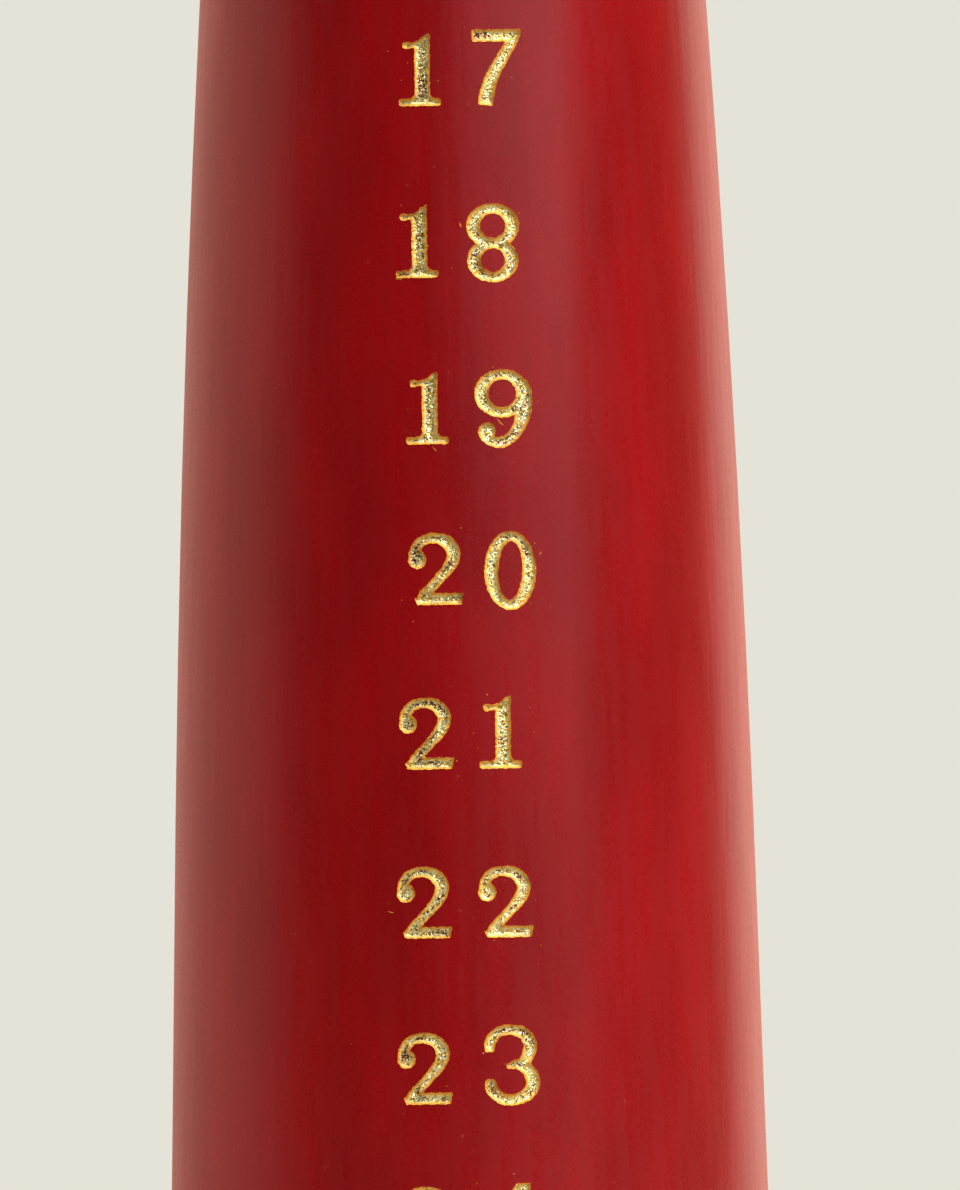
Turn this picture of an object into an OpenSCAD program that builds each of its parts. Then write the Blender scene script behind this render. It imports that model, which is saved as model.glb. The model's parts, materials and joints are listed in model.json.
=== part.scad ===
// Calendar candle: a tapered, dip-coated candle with the days 1 to 24 stamped in gold foil
// down its front. Millimetres, +Z up. The origin is the middle of the flat base and the
// numbers face -Y.

/* [Candle body] */
// Diameter of the body at the base
base_d = 40.4; // [38:0.2:46]
// Diameter of the body just under its rounded tip
tip_d = 11; // [10:0.5:16]
// Radius lost per millimetre of height on the lower body
lower_taper = 0.0245; // [0.016:0.0005:0.032]
// Height at which the lower body begins to draw in
belly_low = 40; // [25:1:60]
// Height from which the upper body is a straight cone
belly_high = 96; // [75:1:130]
// Rounding of the foot's edge
base_round = 0.8; // [0.4:0.1:1]
// Height of the rounded shoulder at the tip
tip_round = 4; // [3:0.1:5]
// Thickness of the dyed coat around the pale core
coat_t = 1.5; // [1.2:0.1:2.4]
// Thickness of the dyed coat over the core's top
tip_cover = 3.5; // [3:0.1:5]

/* [Number column] */
// Distance from one number to the next
day_pitch = 11; // [10:0.25:13]
// Height of the lowest number's middle above the base
foot_margin = 14; // [11:0.5:24]
// Distance from the top number's middle up to the tip
tip_margin = 13; // [11:0.5:24]

/* [Figures] */
// Height of the figures 1, 4 and 7
figure_h = 4.85; // [4.4:0.05:5.6]
// Space between the two figures of a number
figure_space = 1.8; // [1.4:0.1:2.4]
// Thickness of the upright and other heavy strokes
stem_w = 1; // [0.9:0.05:1.2]
// Thickness of the sides of round strokes
round_w = 0.9; // [0.8:0.02:1.1]
// Thickness of the light strokes
hair_w = 0.66; // [0.55:0.01:0.8]
// Thickness of the slab feet
slab_t = 0.45; // [0.4:0.05:0.7]
// Diameter of the ball that ends a curl
ball_d = 1.2; // [1.1:0.05:1.4]

/* [Stamping] */
// Depth of the stamped groove
groove_depth = 0.35; // [0.25:0.05:0.6]
// Thickness of the foil on the groove's floor
foil_t = 0.12; // [0.06:0.02:0.2]

/* [Wick] */
// Diameter of the braided wick
wick_d = 2.2; // [1.6:0.1:2.8]
// Length of wick above the tip
wick_free = 12; // [8:1:20]
// Radius of the free wick's lean
wick_bend_r = 45; // [30:1:90]
// Height of the wax that climbs the wick
climb_h = 1.8; // [1:0.1:3]
// Width of the climbing wax where it leaves the tip
climb_w = 0.9; // [0.6:0.1:1.4]
// Width of the climbing wax at its top
climb_lip = 0.25; // [0.15:0.05:0.4]

/* [Hidden] */
last_day = 24;
base_r = base_d / 2;
tip_r = tip_d / 2;
wick_r = wick_d / 2;
wax_h = foot_margin + (last_day - 1) * day_pitch + tip_margin;
shoulder_z = wax_h - tip_round;
climb_top = wax_h + climb_h;
climb_r = wick_r + climb_lip + climb_w;
belly = belly_high - belly_low;
// Radius left to lose at the upper taper, and that taper: radius lost per millimetre of height
upper_loss = base_r - tip_r - lower_taper * (belly_low + belly / 2);
upper_taper = upper_loss / (shoulder_z - belly_high + belly / 2);
// The figures are drawn for this height, and their places grow with the real one
drawn_h = 5;
u = figure_h / drawn_h;
// Widths of the figures 0 to 9 as drawn
figure_widths = [3.52, 2.84, 3.72, 3.84, 3.66, 3.6, 3.88, 3.28, 3.64, 3.88];
// How far each day's stamp landed right of the column, below its place, and how much wider
// its two figures stand apart, for days 1 to 24
stamp_right = [0.1, -0.15, 0.2, 0.05, -0.2, 0.1, 0.15, -0.1, 0, 0.2, -0.1, 0.15,
    -0.2, 0.1, 0.25, -0.05, 0.4, 0.1, 0.7, 0.75, -0.2, -0.05, 0.05, 0];
stamp_drop = [0.1, 0, 0.15, -0.1, 0.05, 0.2, -0.05, 0, 0.1, -0.15, 0, 0.1,
    0.2, -0.1, 0.05, 0.15, 0.2, 0.5, 0.45, 0, -0.2, -0.1, -0.2, -1.1];
stamp_spread = [0, 0, 0, 0, 0, 0, 0, 0, 0, 0.1, 0.2, -0.1,
    0, 0.15, -0.15, 0.1, 0.3, 0.05, -0.05, -0.4, -0.1, -0.05, 0.25, 0.4];
curve_steps = 5;
round_points = 16;
oval_points = 28;
cut_over = 1;

numeral_names = [for (day = [1:last_day]) str("numeral_", day < 10 ? "0" : "", day)];

// Radius of the candle's side at height z
function side_r(z) =
    let (low = min(z, belly_low))
    let (mid = min(max(z - belly_low, 0), belly))
    let (high = max(z - belly_high, 0))
    base_r - lower_taper * (low + mid) - (upper_taper - lower_taper) * mid * mid / (2 * belly)
        - upper_taper * high;

// Middle of a day's number above the base, and the edges of its band of the side
function day_z(day) = foot_margin + (last_day - day) * day_pitch;
function band_low(day) = day_z(day) - day_pitch / 2;
function band_high(day) = day_z(day) + day_pitch / 2;

// The side from the foot's rounding to the shoulder, one straight stretch per number
function side_points(inset, top_z) = [
    for (z = [base_round, for (day = [last_day:-1:1]) band_low(day), band_high(1), top_z])
        [side_r(z) - inset, z]
];

foot_points = [
    for (a = [0:15:75]) [side_r(base_round) - base_round * (1 - sin(a)), base_round * (1 - cos(a))]
];
shoulder_w = side_r(shoulder_z) - climb_r;
shoulder_points = [
    for (a = [10:10:90]) [climb_r + shoulder_w * cos(a), shoulder_z + tip_round * sin(a)]
];
climb_points = [
    for (t = [0.25:0.25:1]) [wick_r + climb_lip + climb_w * (1 - t) * (1 - t), wax_h + climb_h * t]
];
core_top = wax_h - tip_cover;
core_points = [
    for (z = [0, for (day = [last_day:-1:1]) band_low(day), core_top])
        [side_r(z) - coat_t, z]
];

// A pen stroke through knots of [x, y, width], drawn as one smooth ribbon with square ends
function reversed(list) = [for (i = [len(list) - 1:-1:0]) list[i]];
function between(a, b, c, d, s) =
    let (bend = 2 * a - 5 * b + 4 * c - d)
    let (twist = 3 * b - a - 3 * c + d)
    (2 * b + (c - a) * s + bend * s * s + twist * s * s * s) / 2;
function pen_path(knots) = [
    for (i = [0:len(knots) - 2])
        let (before = knots[max(i - 1, 0)])
        let (after = knots[min(i + 2, len(knots) - 1)])
        for (j = [0:curve_steps - 1])
            between(before, knots[i], knots[i + 1], after, j / curve_steps),
    knots[len(knots) - 1]
];
function pen_side(path, way) = [
    for (i = [0:len(path) - 1])
        let (a = path[max(i - 1, 0)])
        let (b = path[min(i + 1, len(path) - 1)])
        let (run = [b.x - a.x, b.y - a.y])
        [path[i].x, path[i].y] + way * path[i].z / 2 * [-run.y, run.x] / norm(run)
];

module stroke(knots) {
    path = pen_path([for (k = knots) [k.x * u, k.y * u, k.z]]);
    polygon(concat(pen_side(path, -1), reversed(pen_side(path, 1))));
}

module shape(points) {
    polygon(points * u);
}

module dot(x, y, d) {
    polygon([
        for (i = [0:round_points - 1])
            let (a = i * 360 / round_points)
            [x, y] * u + d / 2 * [cos(a), sin(a)]
    ]);
}

// An oval with its middle at x, y and turned by lean degrees
module oval(x, y, rx, ry, lean = 0) {
    polygon([
        for (i = [0:oval_points - 1])
            let (a = i * 360 / oval_points)
            [x * u + rx * cos(a) * cos(lean) - ry * sin(a) * sin(lean),
             y * u + rx * cos(a) * sin(lean) + ry * sin(a) * cos(lean)]
    ]);
}

// A closed ring around an oval counter: hair_w thick above and below, round_w at the sides
module ring(x, y, rx, ry, lean = 0) {
    difference() {
        oval(x, y, rx * u + round_w, ry * u + hair_w);
        oval(x, y, rx * u, ry * u, lean);
    }
}

module figure_0() {
    ring(0, 2.26, 0.83, 2, -3);
}

module figure_1() {
    stem_l = 0.18 - stem_w / u / 2;
    stem_r = 0.18 + stem_w / u / 2;
    foot_t = slab_t / u;
    shape([
        [-1.42, 0.1], [-1.3, 0], [1.3, 0], [1.42, 0.1], [1.42, foot_t],
        [stem_r + 0.2, foot_t + 0.06], [stem_r, foot_t + 0.3], [stem_r + 0.02, 4.94], [0.38, 4.8],
        [0, 4.46], [-0.5, 4.3], [-0.88, 4.36], [-0.88, 3.88], [stem_l, 3.98],
        [stem_l, foot_t + 0.3], [stem_l - 0.2, foot_t + 0.06], [-1.42, foot_t]
    ]);
    dot(-0.88, 4.12, ball_d * 0.42);
}

module figure_2() {
    stroke([
        [-1.48, 3.1, 0.5], [-1.42, 3.6, hair_w], [-0.95, 4.28, hair_w], [-0.1, 4.5, hair_w],
        [0.75, 4.28, round_w * 0.9], [1.24, 3.55, round_w], [1.02, 2.7, round_w * 0.9],
        [0.2, 1.7, hair_w], [-0.7, 0.75, hair_w], [-1.05, 0.3, hair_w * 0.8]
    ]);
    dot(-1.22, 3.06, ball_d);
    bar_t = hair_w / u + 0.1;
    shape([[-1.24, 0], [1.72, 0], [1.9, bar_t], [-0.4, bar_t], [-0.9, 0.55], [-1.46, 0.46]]);
}

module figure_3() {
    stroke([
        [-1.44, 3.5, hair_w * 0.9], [-1.42, 4.15, hair_w * 1.1], [-0.95, 4.78, hair_w],
        [-0.1, 4.98, hair_w], [0.8, 4.75, round_w * 0.85], [1.26, 4.05, round_w],
        [1.1, 3.2, round_w * 0.9], [0.6, 2.6, hair_w * 0.8]
    ]);
    stroke([
        [0.3, 2.62, hair_w * 0.7], [1, 2.35, round_w * 0.9], [1.45, 1.5, round_w],
        [1.15, 0.7, round_w * 0.95], [0.3, 0.26, hair_w * 1.1], [-0.6, 0.3, hair_w * 1.1],
        [-1.3, 0.85, hair_w * 1.15], [-1.42, 1.25, hair_w * 1.15]
    ]);
    stroke([[0.95, 2.7, hair_w], [0.3, 2.65, hair_w * 0.85], [-0.3, 2.48, hair_w * 0.5]]);
    dot(-1.42, 1.28, ball_d * 0.66);
}

module figure_4() {
    stem_l = 0.62 - stem_w / u / 2;
    stem_r = 0.62 + stem_w / u / 2;
    bar_t = hair_w / u;
    shape([[stem_l, 0], [stem_r, 0], [stem_r, 5], [stem_l + 0.1, 5], [stem_l, 4.8]]);
    foot_t = slab_t / u;
    shape([[stem_l - 0.5, 0], [stem_r + 0.5, 0], [stem_r + 0.5, foot_t], [stem_l - 0.5, foot_t]]);
    shape([[-1.82, 1.3], [1.82, 1.3], [1.82, 1.3 + bar_t], [-1.82, 1.3 + bar_t]]);
    stroke([[0.45, 4.75, hair_w], [-0.5, 3.25, hair_w], [-1.5, 1.55, hair_w]]);
}

module figure_5() {
    bar_t = hair_w / u + 0.14;
    shape([[-1.3, 5.1 - bar_t], [1.25, 5.1 - bar_t], [1.4, 5.12], [-1.3, 5.1]]);
    stroke([[-0.98, 4.8, hair_w], [-1.08, 3.8, hair_w * 0.95], [-1.16, 2.72, hair_w * 0.9]]);
    stroke([
        [-1.2, 2.66, hair_w * 0.6], [-0.5, 3.05, hair_w], [0.4, 3.02, round_w * 0.85],
        [1.14, 2.45, round_w * 0.95], [1.32, 1.55, round_w], [1, 0.68, round_w * 0.95],
        [0.2, 0.24, hair_w * 1.1], [-0.65, 0.3, hair_w * 1.1], [-1.28, 0.85, hair_w * 1.15],
        [-1.36, 1.2, hair_w * 1.15]
    ]);
    dot(-1.36, 1.22, ball_d * 0.66);
}

module figure_7() {
    bar_t = hair_w / u + 0.14;
    shape([
        [-1.64, 5.13 - bar_t], [0.95, 5.13 - bar_t], [1.15, 4.3], [1.6, 4.56], [1.66, 4.98], [1.56, 5.13],
        [-1.64, 5.13]
    ]);
    stroke([
        [1.3, 4.75, hair_w * 1.05], [0.5, 3.35, hair_w * 1.15], [-0.2, 2.15, stem_w * 0.85],
        [-0.62, 1, stem_w * 0.95], [-0.78, 0, stem_w]
    ]);
}

module figure_8() {
    ring(0.02, 3.46, 0.87, 0.84);
    ring(0, 1.12, 0.82, 0.82);
}

module figure_9() {
    ring(-0.08, 3.38, 0.95, 0.96);
    stroke([
        [0.62, 4.5, hair_w * 0.8], [1.3, 3.9, round_w * 0.95], [1.44, 3.1, stem_w],
        [1.36, 2.1, stem_w], [1, 1.05, round_w * 0.9], [0.35, 0.28, hair_w * 1.1],
        [-0.45, 0.06, hair_w * 1.1], [-1.2, 0.38, hair_w]
    ]);
    dot(-1.12, 0.84, ball_d * 0.95);
    stroke([[-0.75, 0.1, hair_w], [-1.22, 0.42, hair_w * 1.05], [-1.35, 0.84, hair_w]]);
}

// The 6 is the 9 turned about its middle
module figure_6() {
    middle = 2.35 * u;
    translate([0, middle]) rotate(180) translate([0, -middle]) figure_9();
}

module figure(n) {
    if (n == 0) figure_0();
    if (n == 1) figure_1();
    if (n == 2) figure_2();
    if (n == 3) figure_3();
    if (n == 4) figure_4();
    if (n == 5) figure_5();
    if (n == 6) figure_6();
    if (n == 7) figure_7();
    if (n == 8) figure_8();
    if (n == 9) figure_9();
}

// A day's number as a flat outline, its middle on the column where the stamp landed
module number_outline(day) {
    tens = floor(day / 10);
    ones = day % 10;
    ones_w = figure_widths[ones] * u;
    tens_w = figure_widths[tens] * u;
    space = figure_space + stamp_spread[day - 1];
    pair_w = tens > 0 ? tens_w + space + ones_w : ones_w;
    translate([stamp_right[day - 1], -figure_h / 2 - stamp_drop[day - 1]]) {
        if (tens > 0) translate([(tens_w - pair_w) / 2, 0]) figure(tens);
        translate([(pair_w - ones_w) / 2, 0]) figure(ones);
    }
}

// The number cut out of a layer of the side that lies between two depths
module stamped_layer(day, outer_depth, inner_depth) {
    intersection() {
        translate([0, 0, day_z(day)]) rotate([90, 0, 0])
            linear_extrude(height = base_r + 2 * cut_over) number_outline(day);
        rotate_extrude()
            polygon([
                [side_r(band_low(day)) - inner_depth, band_low(day)],
                [side_r(band_low(day)) - outer_depth, band_low(day)],
                [side_r(band_high(day)) - outer_depth, band_high(day)],
                [side_r(band_high(day)) - inner_depth, band_high(day)]
            ]);
    }
}

// Braided cotton wick: straight through the core, with a slight lean above the tip
module wick() {
    lean = (wick_free - climb_h) / wick_bend_r * 180 / PI;
    color("wheat") {
        cylinder(h = climb_top, r = wick_r);
        translate([-wick_bend_r, 0, climb_top]) rotate([90, 0, 0])
            rotate_extrude(angle = lean) translate([wick_bend_r, 0]) circle(r = wick_r);
    }
}

// Pale wax core with the hole that the wick fills
module wax_core() {
    color("ivory")
        rotate_extrude()
            polygon(concat([[wick_r, 0]], core_points, [[wick_r, core_top]]));
}

// Red dyed coat over the core's side and top, with a stamped groove for every number
module red_coat() {
    body = concat(foot_points, side_points(0, shoulder_z), shoulder_points);
    outer = concat(body, climb_points, [[wick_r, climb_top]]);
    inner = concat([[wick_r, core_top]], reversed(core_points));
    color("firebrick")
        difference() {
            rotate_extrude() polygon(concat(outer, inner));
            for (day = [1:last_day]) stamped_layer(day, -cut_over, groove_depth);
        }
}

// Gold foil of one number, lying on the floor of its groove
module numeral(day) {
    color("gold") stamped_layer(day, groove_depth - foil_t, groove_depth);
}

wick();
wax_core();
red_coat();
for (day = [1:last_day]) {
    numeral(day);
}
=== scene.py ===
"""Calendar candle: a dipped red taper candle with the days stamped in gold foil down its front.

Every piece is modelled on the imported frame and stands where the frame's node stands. Lengths in
the code are in metres, as the frame's are; MM turns a size in millimetres into metres.
"""
import bisect
import json
import math
import random

import bmesh
import bpy
from bpy.props import FloatProperty, FloatVectorProperty, IntProperty, PointerProperty
from bpy.types import Operator, Panel, PropertyGroup
from mathutils import Matrix, Quaternion, Vector, noise
from mathutils.kdtree import KDTree

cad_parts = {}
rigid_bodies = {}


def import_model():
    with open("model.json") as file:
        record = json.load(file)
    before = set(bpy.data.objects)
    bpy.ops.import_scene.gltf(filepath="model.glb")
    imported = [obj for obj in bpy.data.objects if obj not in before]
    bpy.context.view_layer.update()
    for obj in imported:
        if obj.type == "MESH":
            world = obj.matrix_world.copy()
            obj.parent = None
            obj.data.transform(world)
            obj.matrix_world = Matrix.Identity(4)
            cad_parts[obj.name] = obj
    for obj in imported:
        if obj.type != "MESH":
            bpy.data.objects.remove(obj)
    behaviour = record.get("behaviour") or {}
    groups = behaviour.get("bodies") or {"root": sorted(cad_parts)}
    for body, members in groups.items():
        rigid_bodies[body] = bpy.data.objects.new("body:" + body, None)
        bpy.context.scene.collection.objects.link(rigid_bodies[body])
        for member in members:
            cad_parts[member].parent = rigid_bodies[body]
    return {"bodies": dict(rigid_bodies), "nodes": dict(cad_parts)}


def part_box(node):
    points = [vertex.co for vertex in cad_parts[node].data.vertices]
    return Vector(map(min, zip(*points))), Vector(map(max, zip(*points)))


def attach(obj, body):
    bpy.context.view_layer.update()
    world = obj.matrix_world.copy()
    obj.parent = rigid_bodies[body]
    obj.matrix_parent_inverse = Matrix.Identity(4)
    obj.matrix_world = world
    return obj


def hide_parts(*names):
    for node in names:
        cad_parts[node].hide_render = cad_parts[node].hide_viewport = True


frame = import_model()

bl_info = {
    "name": "Calendar Candle",
    "version": (1, 0, 0),
    "blender": (4, 5, 0),
    "location": "View3D > Sidebar > Candle",
    "description": "Dipped taper candle with foil stamped day numbers",
    "category": "Object",
}

MM = 0.001
BODY = "root"
MERGE = 0.0001 * MM
ON_SEAM = 0.001 * MM
DAYS = range(1, 25)
FRONT = -math.pi / 2


def srgb(red, green, blue):
    """Linear colour of an sRGB colour that is given from 0 to 255."""
    def linear(value):
        value /= 255
        return value / 12.92 if value <= 0.04045 else ((value + 0.055) / 1.055) ** 2.4
    return linear(red), linear(green), linear(blue)


def opaque(colour):
    return (*colour, 1)


def smooth(low, high, value):
    """Smooth step from 0 at low to 1 at high."""
    share = min(max((value - low) / (high - low), 0), 1)
    return share * share * (3 - 2 * share)


def numeral_node(day):
    return f"numeral_{day:02d}"


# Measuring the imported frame

def drop_start_objects():
    """Removes what Blender's start file holds, so that only the frame is left."""
    kept = set(frame["nodes"].values()) | set(frame["bodies"].values())
    for thing in list(bpy.context.scene.objects):
        if thing not in kept:
            bpy.data.objects.remove(thing, do_unlink=True)


drop_start_objects()
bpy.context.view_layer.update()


def on_seam(co):
    """Is a point on the half plane y = 0, x > 0, where a turned node's faces begin and end?"""
    return abs(co.y) < ON_SEAM and co.x > 0


def read_side():
    """The coat's outer side as (height, radius) pairs, walked up its seam from the foot."""
    coat = bmesh.new()
    coat.from_mesh(frame["nodes"]["red_coat"].data)
    bmesh.ops.remove_doubles(coat, verts=coat.verts, dist=MERGE)
    seam = {v for v in coat.verts if on_seam(v.co)}
    here = min(seam, key=lambda v: (round(v.co.z / ON_SEAM), -v.co.x))
    side = []
    while here:
        side.append((here.co.z, here.co.x))
        beside = [e.other_vert(here) for e in here.link_edges]
        above = [v for v in beside if v in seam and v.co.z > here.co.z + MERGE]
        here = above[0] if above else None
    coat.free()
    return side


SIDE = read_side()
SIDE_HEIGHTS = [height for height, radius in SIDE]
CLIMB_TOP = SIDE[-1][0]
WICK_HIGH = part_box("wick")[1]
WICK_R = WICK_HIGH.x


def side_radius(z):
    """Radius of the coat's outer side at a height."""
    i = min(max(bisect.bisect(SIDE_HEIGHTS, z), 1), len(SIDE) - 1)
    (low, low_radius), (high, high_radius) = SIDE[i - 1], SIDE[i]
    share = min(max((z - low) / (high - low), 0), 1)
    return low_radius + share * (high_radius - low_radius)


def depth_of(co):
    """How deep a point lies under the coat's outer side."""
    return side_radius(co.z) - math.hypot(co.x, co.y)


def read_depths(node):
    """Least and greatest depth of a node's corners under the coat's side."""
    depths = [depth_of(v.co) for v in frame["nodes"][node].data.vertices]
    return min(depths), max(depths)


FOIL_FRONT, GROOVE_FLOOR = read_depths(numeral_node(DAYS[-1]))
FOIL_BACK = GROOVE_FLOOR - 0.01 * MM


# What a user may change

class CandleStage(PropertyGroup):
    """Camera, lamps and surroundings"""
    background: FloatVectorProperty(
        name="Background", description="Colour behind the candle and at the floor's edge",
        subtype='COLOR', min=0, max=1, default=srgb(229, 227, 215))
    floor_colour: FloatVectorProperty(
        name="Floor", description="Colour of the floor, paler under the lamps",
        subtype='COLOR', min=0, max=1, default=(0.36, 0.35, 0.31))
    floor_r: FloatProperty(
        name="Floor radius", description="Radius at which the floor has faded into the background",
        unit='LENGTH', default=230 * MM)
    camera_far: FloatProperty(
        name="Camera distance", description="From the candle's axis to the camera",
        unit='LENGTH', default=2000 * MM)
    camera_z: FloatProperty(
        name="Camera height", description="Height of the camera above the candle's foot",
        unit='LENGTH', default=56.18 * MM)
    camera_x: FloatProperty(
        name="Camera offset", description="How far the camera stands to the right of the axis",
        unit='LENGTH', default=1.25 * MM)
    camera_roll: FloatProperty(
        name="Camera roll", description="Turn of the camera about its own line of sight",
        subtype='ANGLE', default=math.radians(0.825))
    view_height: FloatProperty(
        name="View height", description="Height of the picture, measured at the candle's axis",
        unit='LENGTH', default=78.9 * MM)
    sheen_strength: FloatProperty(
        name="Sheen light", description="Brightness of the large soft lamp that the wax mirrors",
        min=0, default=1.4)
    key_strength: FloatProperty(
        name="Key light", description="Brightness of the high lamps that light the colours",
        min=0, default=7.0)
    surround: FloatProperty(
        name="Surround", description="Brightness of the pale surroundings behind the candle",
        min=0, default=0.75)
    table: FloatProperty(
        name="Table", description="Brightness of the floor that the wax mirrors on its right side",
        min=0, default=2.5)
    shade: FloatProperty(
        name="Shaded side", description="Brightness of the surroundings in front of the candle",
        min=0, default=0.006)


class CandleWax(PropertyGroup):
    """Red dipped coat and pale core"""
    red: FloatVectorProperty(
        name="Red wax", description="Colour of the dyed coat",
        subtype='COLOR', min=0, max=1, default=srgb(157, 4, 14))
    deep_red: FloatVectorProperty(
        name="Deep red", description="Colour where the dyed coat lies thicker",
        subtype='COLOR', min=0, max=1, default=srgb(140, 3, 10))
    core: FloatVectorProperty(
        name="Core wax", description="Colour of the undyed wax",
        subtype='COLOR', min=0, max=1, default=srgb(236, 226, 200))
    glow: FloatVectorProperty(
        name="Rim glow", description="Colour of the light that the coat lets through at its rim",
        subtype='COLOR', min=0, max=1, default=srgb(255, 118, 80))
    row: FloatProperty(
        name="Row height", description="Longest edge up the coat's side",
        unit='LENGTH', default=1 * MM)
    front_angle: FloatProperty(
        name="Front angle", description="Arc round the numbers that gets the finer mesh",
        subtype='ANGLE', default=math.radians(48))
    front_steps: IntProperty(
        name="Front steps", description="Faces across the front arc", min=8, default=48)
    back_steps: IntProperty(
        name="Back steps", description="Faces round the rest of the coat", min=24, default=80)
    wave: FloatProperty(
        name="Dip waves", description="Depth of the shallow waves that dipping leaves",
        unit='LENGTH', default=0.05 * MM)


class CandleFoil(PropertyGroup):
    """Stamped gold foil"""
    pale: FloatVectorProperty(
        name="Pale gold", description="Colour of the foil where it lies smooth",
        subtype='COLOR', min=0, max=1, default=srgb(255, 246, 186))
    # Gold is the tone of random facets, and painted shade on the groove's walls
    gold: FloatVectorProperty(
        name="Gold", description="Colour of the foil in its creases",
        subtype='COLOR', min=0, max=1, default=srgb(255, 200, 66))
    # Amber is painted shade of the groove's walls, laid along the foil's rim
    amber: FloatVectorProperty(
        name="Amber", description="Colour along the foil's stretched rim",
        subtype='COLOR', min=0, max=1, default=srgb(248, 158, 14))
    speck: FloatVectorProperty(
        name="Speck", description="Colour of the bare spots that the foil left",
        subtype='COLOR', min=0, max=1, default=srgb(104, 18, 44))
    # Olive is painted shade, laid on the darkest facets and most on the groove's floor
    olive: FloatVectorProperty(
        name="Olive", description="Colour in the foil's deepest creases",
        subtype='COLOR', min=0, max=1, default=srgb(112, 76, 22))
    voxel: FloatProperty(
        name="Mesh size", description="Face size of the foil's mesh",
        unit='LENGTH', default=0.07 * MM)
    wall: FloatProperty(
        name="Groove wall", description="Width over which the foil dips from rim to floor",
        unit='LENGTH', default=0.3 * MM)
    dip: FloatProperty(
        name="Dip", description="Depth of the foil's middle under the wax surface",
        unit='LENGTH', default=0.19 * MM)
    rim: FloatProperty(
        name="Rim", description="How far the foil's rim stands above the wax",
        unit='LENGTH', default=0.02 * MM)
    lap: FloatProperty(
        name="Lap", description="How far the foil laps over the groove's edge",
        unit='LENGTH', default=0.01 * MM)
    ragged: FloatProperty(
        name="Ragged edge", description="How far the foil's edge strays from its outline",
        unit='LENGTH', default=0.06 * MM)
    crumbs: IntProperty(
        name="Crumbs", description="Crumbs of foil round each number", min=0, default=14)
    crinkle: FloatProperty(
        name="Crinkle", description="Height of the foil's fine creases",
        unit='LENGTH', default=0.016 * MM)


class CandleWick(PropertyGroup):
    """Braided cotton wick"""
    cotton: FloatVectorProperty(
        name="Cotton", description="Colour of the dry braid",
        subtype='COLOR', min=0, max=1, default=srgb(238, 229, 206))
    waxed: FloatVectorProperty(
        name="Waxed cotton", description="Colour of the braid where dyed wax has soaked in",
        subtype='COLOR', min=0, max=1, default=srgb(176, 52, 44))
    bend_r: FloatProperty(
        name="Bend radius", description="Radius of the wick's lean",
        unit='LENGTH', default=45 * MM)
    strands: IntProperty(
        name="Strands each way", description="Strands of the braid that turn the same way",
        min=2, default=6)
    pitch: FloatProperty(
        name="Pitch", description="Height in which a strand goes once round",
        unit='LENGTH', default=8 * MM)
    fibres: IntProperty(
        name="Fibres", description="Loose fibres at the frayed tip", min=0, default=26)


# Working on meshes by hand

def deselect():
    if bpy.context.mode != 'OBJECT':
        bpy.ops.object.mode_set(mode='OBJECT')
    bpy.ops.object.select_all(action='DESELECT')


def take(piece):
    """Makes a piece the only selected object, and the active one."""
    deselect()
    piece.select_set(True)
    bpy.context.view_layer.objects.active = piece


def edit(piece, mode='VERT'):
    take(piece)
    bpy.ops.object.mode_set(mode='EDIT')
    bpy.ops.mesh.select_mode(type=mode)


def select_where(piece, test, part="vertices"):
    """Selects a piece's vertices, edges or faces by a test, in edit mode, and tells how many."""
    edit(piece, {"vertices": 'VERT', "edges": 'EDGE', "polygons": 'FACE'}[part])
    bpy.ops.mesh.select_all(action='DESELECT')
    bpy.ops.object.mode_set(mode='OBJECT')
    chosen = [element for element in getattr(piece.data, part) if test(element)]
    for element in chosen:
        element.select = True
    bpy.ops.object.mode_set(mode='EDIT')
    return len(chosen)


def copy_of(node, name):
    """A merged copy of a frame node, with a mesh of its own and no material."""
    piece = bpy.data.objects.new(name, frame["nodes"][node].data.copy())
    piece.data.name = name
    piece.data.materials.clear()
    bpy.context.collection.objects.link(piece)
    edit(piece)
    bpy.ops.mesh.select_all(action='SELECT')
    bpy.ops.mesh.remove_doubles(threshold=MERGE)
    bpy.ops.object.mode_set(mode='OBJECT')
    return piece


def outward(piece):
    """Merges a piece's doubles and points its faces outwards."""
    edit(piece)
    bpy.ops.mesh.select_all(action='SELECT')
    bpy.ops.mesh.remove_doubles(threshold=MERGE)
    bpy.ops.mesh.normals_make_consistent(inside=False)
    bpy.ops.object.mode_set(mode='OBJECT')


def move_points(piece, place):
    """Moves each vertex of a piece to place(its coordinates)."""
    for vertex in piece.data.vertices:
        vertex.co = place(vertex.co)
    piece.data.update()


def join(pieces, name):
    """Joins several objects into the first."""
    take(pieces[0])
    for piece in pieces[1:]:
        piece.select_set(True)
    bpy.ops.object.join()
    pieces[0].name = name
    pieces[0].data.name = name
    return pieces[0]


def finish_piece(piece, nodes, material):
    """Gives a piece its material and its body, and hides the frame nodes that it takes the place
    of.
    """
    if not piece.data.polygons:
        raise RuntimeError(f"{piece.name} has no faces")
    piece.data.materials.clear()
    piece.data.materials.append(material)
    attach(piece, BODY)
    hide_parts(*nodes)


# Shaping the wax

SKIN_CREASE = math.radians(35)


def swell(co, across, up, shift=0):
    """Smooth noise whose swells have the given width and height."""
    return noise.noise(Vector((co.x / across, co.y / across, co.z / up + shift)))


def wave_depth(co, wave):
    """How far the dipped surface lies inside the coat's true side at a point."""
    slow = swell(co, 14 * MM, 45 * MM)
    quick = swell(co, 5 * MM, 17 * MM, shift=7)
    return wave * (0.5 + 0.35 * slow + 0.15 * quick)


def surface_radius(co, wave):
    """Radius of the waved wax surface straight above or below a point."""
    return side_radius(co.z) - wave_depth(co, wave)


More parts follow.
